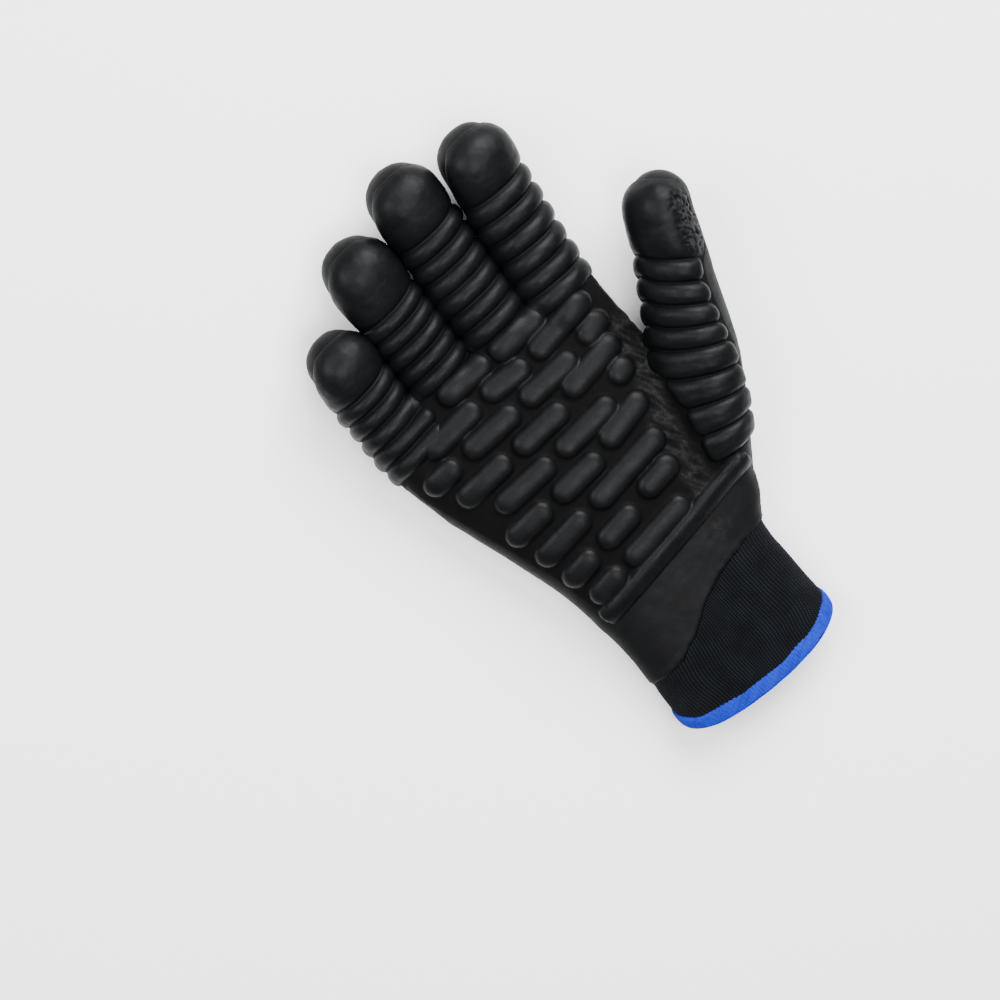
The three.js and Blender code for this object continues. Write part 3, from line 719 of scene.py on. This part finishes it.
# The overlocked hem: a flattened roll of slanting threads round the knit edge
def cuff_hem():
    bm = bmesh.new()
    proud = bm.verts.layers.float.new("thread")
    rows = [k / 24 for k in range(25)]
    heights = {}

    def place(row, turn):
        depth = KNIT_SINK + KNIT_WALL / 2
        edge = body_point(-CUFF_LENGTH, turn, -depth)
        inner = body_point(-CUFF_LENGTH, turn, -depth - 1)
        outward = (edge - inner).normalized()
        outward.y = 0.0
        outward.normalize()
        along, up = oval(row * 2 * math.pi, 2.6)
        thread = abs(math.sin(math.pi * (turn * HEM_THREADS + row * 2)))
        stitch = abs((turn * HEM_THREADS / 2) % 1 * 2 - 1)  # the needle threads zigzag onto the knit
        fuzz = noise.noise(edge / 0.9 + Vector((row * 40, 0, 0)))
        wobble = noise.noise(edge / 11.0) * 0.5
        onto_knit = smooth_step(along, 0.55, 1.0)
        reach = HEM_REACH + 0.1 * thread + 0.9 * onto_knit * stitch
        thick = (HEM_THICK + 0.12 * thread + 0.12 * fuzz) * (1 - 0.25 * onto_knit)
        spot = edge + Vector((0, HEM_PAST_EDGE + along * reach + wobble, 0))
        spot += outward * (up * thick + wobble * 0.5)
        spot.z = max(spot.z, 0.0)
        # its inner edge is pressed into the knit, and its colour is darkened there: a painted shade
        inner_edge_shade = 1 - 0.75 * smooth_step(along, 0.8, 1.0)
        # the thread attribute is paler on the proud threads, a painted highlight, with some random tone from
        # the fuzz
        heights[key_of(spot)] = (0.55 + 0.25 * thread + 0.35 * fuzz) * inner_edge_shade
        return spot

    add_loft(bm, rows, HEM_THREADS * FACETS_A_THREAD, place)
    for vert in bm.verts:
        vert[proud] = heights.get(key_of(vert.co), 0.5)
    bmesh.ops.recalc_face_normals(bm, faces=bm.faces)
    return finished(bm, "hem", "cuff_hem", hem_yarn)


# Moulded ribs
def bar_height(along, across, half_along, half_across, corner, power):
    """Height from 0 to 1 of a rounded bar, at a place from its middle."""
    over_along = max(0.0, abs(along) - (half_along - corner))
    over_across = max(0.0, abs(across) - (half_across - corner))
    out = math.hypot(over_along, over_across) / corner
    return (1 - out**power) ** 0.5 if out < 1 else 0.0


# The tip pad's front seam, seen from the dome's middle: how far from the tip, and how much more at
# the sides
SEAM_FROM_TIP, SEAM_SWEEP = math.radians(24), math.radians(24)


def rib_list(digit):
    """Middle, half length and relative height of the tip pad and each rib, measured from the tip."""
    front = digit.dome * (1 - math.cos(SEAM_FROM_TIP))
    ribs = [((front + digit.groove) / 2, (digit.groove - front) / 2, 1.2)]
    start = digit.groove
    for count, end in digit.ribs:
        pitch = (end * digit.reach - start) / count
        for k in range(count):
            uneven = noise.noise(Vector((k * 1.7, digit.reach, 0.0))) * 0.12
            ribs.append((start + (k + 0.5) * pitch, pitch * 0.49, 1.0 + uneven))
        start += pitch * count
    return ribs, start


def moulded_ribs(digit):
    """A digit's tip pad and ribs, as heights on a thin sheet round its palm side."""
    ribs, end = rib_list(digit)
    dome = digit.dome
    last = end + 3.0  # the sheet runs on a little past the last rib
    quarter = math.pi / 2 - SEAM_FROM_TIP
    domed = int(dome * quarter / RIB_FACET)
    rows = [dome - dome * math.cos(SEAM_FROM_TIP + quarter * k / domed) for k in range(domed)]
    rows += [dome + k * RIB_FACET for k in range(int((last - dome) / RIB_FACET) + 1)]
    radius = digit.width / 2
    bm = bmesh.new()
    heights, scuffs = {}, {}

    def seam(angle):
        """The pad's front edge at an angle round the digit, measured from the tip."""
        return dome - dome * math.cos(SEAM_FROM_TIP + SEAM_SWEEP * min(1.0, abs(angle) / 85) ** 2)

    def place(from_tip, turn):
        _, away, toward = through(digit.reaches, from_tip / digit.reach)
        past = 3 + (SHEET_PAST_RIBS - 3) * smooth_step(from_tip, digit.groove * 0.55, digit.groove)
        angle = turn * (away + toward + 2 * past) - away - past
        across = max(-1.25, min(1.25, angle / 78))
        skew, roll = digit.skew(digit.reach - from_tip), digit.roll(digit.reach - from_tip)
        # seen from above the ribs bow a little to the tip, and turn back to the root where the side begins
        round_side = min(1.25, abs(angle) / (90 - roll if angle > 0 else 90 + roll))
        bow = 1.5 * round_side**2 - 14.0 * max(0.0, round_side - 0.55) ** 2
        shift = (bow + 0.5 * digit.width * math.tan(skew) * across) * min(1.0, from_tip / digit.width)
        along = digit.reach - from_tip + shift
        centre = digit.frame(min(along, digit.reach - dome))[0]
        way = digit.point(along, angle) - centre
        reach = way.length
        way.normalize()
        # down to the hand's own skin, but not far out where the palm or the next finger joins
        hit = hand_tree.ray_cast(centre, way, reach + 9)
        most = reach + 0.4 + 7.0 * max(0.0, 1 - (angle / 75) ** 2)
        spot = centre + way * min(hit[3] if hit[0] else reach, most)
        arc = math.radians(angle) * radius
        side = math.radians(toward if angle > 0 else away) * radius
        height = 0.0
        for k, (middle, half, lift) in enumerate(ribs):
            front = middle - seam(angle) if k == 0 and from_tip < middle else half
            share = (from_tip - middle) / front
            if abs(share) >= 1:
                continue
            if k == 0:
                # the smooth pad over the tip: a long slope to its front seam, a round one to the groove
                slope = (1 - share**2) ** 0.8 if share < 0 else (1 - share**3.4) ** 0.5
                height = lift * slope * max(0.0, 1 - (arc / side) ** 4) ** 0.5
            else:
                height = lift * bar_height(from_tip - middle, arc, half, side, min(half, 4.4), 2.1) ** 1.2
        edge = (toward if angle > 0 else away) + past - abs(angle)
        wavy = 0.7 * noise.noise(spot / 4.0)
        border = min((from_tip - seam(angle)) * 3, last - from_tip, math.radians(edge) * radius + wavy)
        sheet = -0.5 + (SHEET_LIFT + 0.5) * smooth_step(border, 0.2, 1.6)
        crinkle = noise.noise(spot / 2.2) * 0.09
        fall = 1 - 0.2 * min(1.0, abs(across)) ** 3
        key = key_of(spot)
        heights[key] = sheet + crinkle + height * (RIB_HEIGHT - SHEET_LIFT) * fall
        if digit.name == "thumb":
            # the thumb's pad is worn and pitted on its outer side
            ragged = 9 * noise.noise(spot / 3.0)
            between = smooth_step(from_tip, 6, 10) * (1 - smooth_step(from_tip, 27, 33))
            worn = smooth_step(angle + ragged, 38, 62) * between
            pit = max(0.0, noise.noise(spot / 1.4) - 0.02) + 0.6 * max(0.0, noise.noise(spot / 0.8))
            heights[key] -= 1.7 * worn * pit
            scuffs[key] = worn * max(0.0, min(1.0, 0.15 - 2.4 * noise.noise(spot / 1.4)))
        return spot

    add_loft(bm, rows, 96, place)
    return raised(bm, heights, scuffs, f"{digit.name}_ribs", f"{digit.name}_ribs")


def raised(bm, heights, scuffs, name, node, smooth=()):
    """Lifts each point of a sheet by its height, and notes height and wear for the material, which paints
    shade into the grooves where the height is low. The points in smooth lie on plain coat and get no painted
    groove shade."""
    bmesh.ops.recalc_face_normals(bm, faces=bm.faces)
    if sum((face.normal.z for face in bm.faces), 0.0) < 0:
        bmesh.ops.reverse_faces(bm, faces=bm.faces)
    crown = bm.verts.layers.float.new("crown")
    worn = bm.verts.layers.float.new("worn")
    lifts = {}
    for vert in bm.verts:
        key = key_of(vert.co)
        lifts[vert] = heights.get(key, 0.0)
        # crown is the height's share: the material paints shade where it is low, and 0.7 keeps that painted
        # shade off plain coat
        vert[crown] = 0.7 if key in smooth else max(0.0, min(1.0, (lifts[vert] + 0.3) / RIB_HEIGHT))
        vert[worn] = scuffs.get(key, 0.0)
    relax(bm, bm.verts, 4)
    bm.normal_update()
    for vert, lift in lifts.items():
        vert.co += vert.normal * lift
    relax(bm, bm.verts, 1, 0.4)
    bm.normal_update()
    piece = finished(bm, name, node, rib_rubber, SHEET_WALL)
    return piece


# The palm's sheet and its pads
def outline_depth(x, y, outline):
    """How far a place lies inside an outline."""
    inside, nearest = False, 1e9
    for (x0, y0), (x1, y1) in zip(outline, outline[1:] + outline[:1]):
        dx, dy = x1 - x0, y1 - y0
        t = max(0.0, min(1.0, ((x - x0) * dx + (y - y0) * dy) / (dx * dx + dy * dy)))
        nearest = min(nearest, math.hypot(x - x0 - t * dx, y - y0 - t * dy))
        if (y0 > y) != (y1 > y) and x < x0 + (y - y0) * dx / dy:
            inside = not inside
    return nearest if inside else -nearest


def along_bar(x, y, bar):
    """Place along and across a bar, and its length."""
    x0, y0, x1, y1 = bar
    length = math.hypot(x1 - x0, y1 - y0)
    ux, uy = (x1 - x0) / length, (y1 - y0) / length
    return (x - x0) * ux + (y - y0) * uy, (y - y0) * ux - (x - x0) * uy, length


def pad_height(x, y):
    """Height from 0 to 1 of pads and heel ridge."""
    best, clear = 0.0, 6
    for bar in PADS:
        x0, y0, x1, y1 = bar
        if not min(x0, x1) - clear < x < max(x0, x1) + clear:
            continue
        if not min(y0, y1) - clear < y < max(y0, y1) + clear:
            continue
        along, across, length = along_bar(x, y, bar)
        half = length / 2
        best = max(best, bar_height(along - half, across, half + 1.0, PAD_HALF, PAD_HALF, 2.4))
    for bar in HEEL_RIDGE:
        along, across, length = along_bar(x, y, bar)
        # steep on the palm's side, and running out slowly to the wrist
        slow, power = (3.4, 0.5) if across > 0 else (6.5, 1.2)
        out = math.hypot(along - min(max(along, 0), length), across) / slow
        best = max(best, 0.95 * (1 - out**2.0) ** power if out < 1 else 0.0)
    return best


def below_ridge(x, y):
    """Whether a place lies on the wrist's side of the heel ridge."""
    x0, y0, x1, y1 = HEEL_RIDGE[0] if x < HEEL_RIDGE[0][2] else HEEL_RIDGE[1]
    return y < y0 + (x - x0) * (y1 - y0) / (x1 - x0)


def distance_to(x, y, part):
    """How far a place lies from a line, x, y to x, y."""
    along, across, length = along_bar(x, y, part)
    return math.hypot(along - min(max(along, 0), length), across)


def palm_pads():
    """The palm's sheet with pads, ridge and strands, as heights on a grid dropped onto the hand."""
    outline = [(x * PALM_WIDTH, y * PALM_LENGTH) for x, y in PALM_SHEET]
    left, low, width, length = -66, 7, 118, 132  # the grid, a little larger than the outline
    rows = [low + PAD_FACET * k for k in range(int(length / PAD_FACET))]
    columns = int(width / PAD_FACET)
    bm = bmesh.new()
    heights, scuffs, smooth = {}, {}, set()

    def place(y, turn):
        x = left + width * turn
        hit = hand_tree.ray_cast(Vector((x, y, 80)), Vector((0, 0, -1)))
        spot = hit[0] if hit[0] else Vector((x, y, -5))
        depth = outline_depth(x, y, outline)
        pad = pad_height(x, y) if depth > 0 else 0.0
        near = min(distance_to(x, y, part) for part in VALLEY)
        drawn = (1 - smooth_step(near, 3.5, 8.5)) * (1 - pad)
        strand = 1 - 2.2 * abs(noise.noise(Vector((x / 2.1 + y / 4.5, y / 9.0, 0))))
        fine = 1 - 2.2 * abs(noise.noise(Vector((x / 1.6, y / 2.6, 5))))
        crinkle = noise.noise(Vector((x / 2.4, y / 2.4, 7))) * 0.14
        crinkle += drawn * (0.55 * max(0.0, strand) + 0.22 * fine)
        sheet = -0.6 + (SHEET_LIFT + 0.5) * smooth_step(depth, -1.2, 0.8)
        sheet -= 0.3 * smooth_step(y, 124, 132)
        key = key_of(spot)
        heights[key] = sheet + crinkle * (1 - pad) + pad * PAD_HEIGHT
        scuffs[key] = 0.65 * drawn * min(1.0, max(0.0, strand))
        # below the heel ridge the sheet gets no painted groove shade, so that no dark line is painted along
        # its edge
        if below_ridge(x, y):
            smooth.add(key)
        return spot

    add_loft(bm, rows, columns, place)
    lowest, margin = 7, -1.5
    gone = []
    for face in bm.faces:
        spot = face.calc_center_median()
        if spot.z < lowest or outline_depth(spot.x, spot.y, outline) < margin:
            gone.append(face)
    bmesh.ops.delete(bm, geom=gone, context="FACES")
    return raised(bm, heights, scuffs, "palm_pads", "palm_pads", smooth)


rubber_coat()
knit_liner()
cuff_hem()
palm_pads()
for digit in DIGITS:
    moulded_ribs(digit)
hand.free()


# Floor, light and camera
def studio():
    """White paper under an evenly bright room."""
    bm = bmesh.new()
    bmesh.ops.create_grid(bm, x_segments=1, y_segments=1, size=3.0)
    floor = object_from(bm, "floor")
    material, tree = new_material("matt_paper")
    look = {"Base Color": linear("fbfbfb"), "Roughness": 0.9, "Specular IOR Level": 0.1}
    shader = add_node(tree, "ShaderNodeBsdfPrincipled", look)
    add_node(tree, "ShaderNodeOutputMaterial", links={"Surface": shader})
    floor.data.materials.append(material)
    world = bpy.data.worlds.new("studio")
    world.use_nodes = True
    glow = world.node_tree.nodes["Background"]
    glow.inputs["Color"].default_value = linear("f2f5fa")
    glow.inputs["Strength"].default_value = 0.6
    bpy.context.scene.world = world


def soft_light(name, place, target, size, power):
    light = bpy.data.lights.new(name, "AREA")
    light.shape = "RECTANGLE"
    light.size, light.size_y = size
    light.energy = power
    lamp = bpy.data.objects.new(name, light)
    lamp.location = place
    lamp.rotation_euler = (Vector(target) - Vector(place)).to_track_quat("-Z", "Y").to_euler()
    bpy.context.scene.collection.objects.link(lamp)


def camera():
    """The view nearly overhead, from the fingertips' side, turned so that the fingers point up left."""
    turn, tilt, roll = math.radians(2.69), math.radians(8.78), math.radians(-40.23)
    back = Vector((math.sin(turn) * math.sin(tilt), math.cos(turn) * math.sin(tilt), math.cos(tilt)))
    level = Vector((0, 1, 0)).cross(back).normalized()
    upright = back.cross(level)
    right = level * math.cos(roll) + upright * math.sin(roll)
    up = upright * math.cos(roll) - level * math.sin(roll)
    lens = bpy.data.cameras.new("camera")
    lens.lens = 142.65
    lens.sensor_width = 36
    lens.clip_end = 50
    eye = bpy.data.objects.new("camera", lens)
    spot = (Vector((-26.2, 318.9, 1594.3)) - MIDDLE) * MM
    eye.matrix_world = Matrix.Translation(spot) @ Matrix((right, up, back)).transposed().to_4x4()
    bpy.context.scene.collection.objects.link(eye)
    bpy.context.scene.camera = eye


studio()
soft_light("key", (0.8, 0.6, 0.9), (0, 0.02, 0), (1.0, 0.9), 56)
soft_light("fill", (-0.7, 0.7, 1.3), (0, 0.02, 0), (0.9, 0.9), 26)
soft_light("overhead", (0.1, -0.25, 1.6), (0, 0, 0), (0.9, 0.7), 28)
camera()
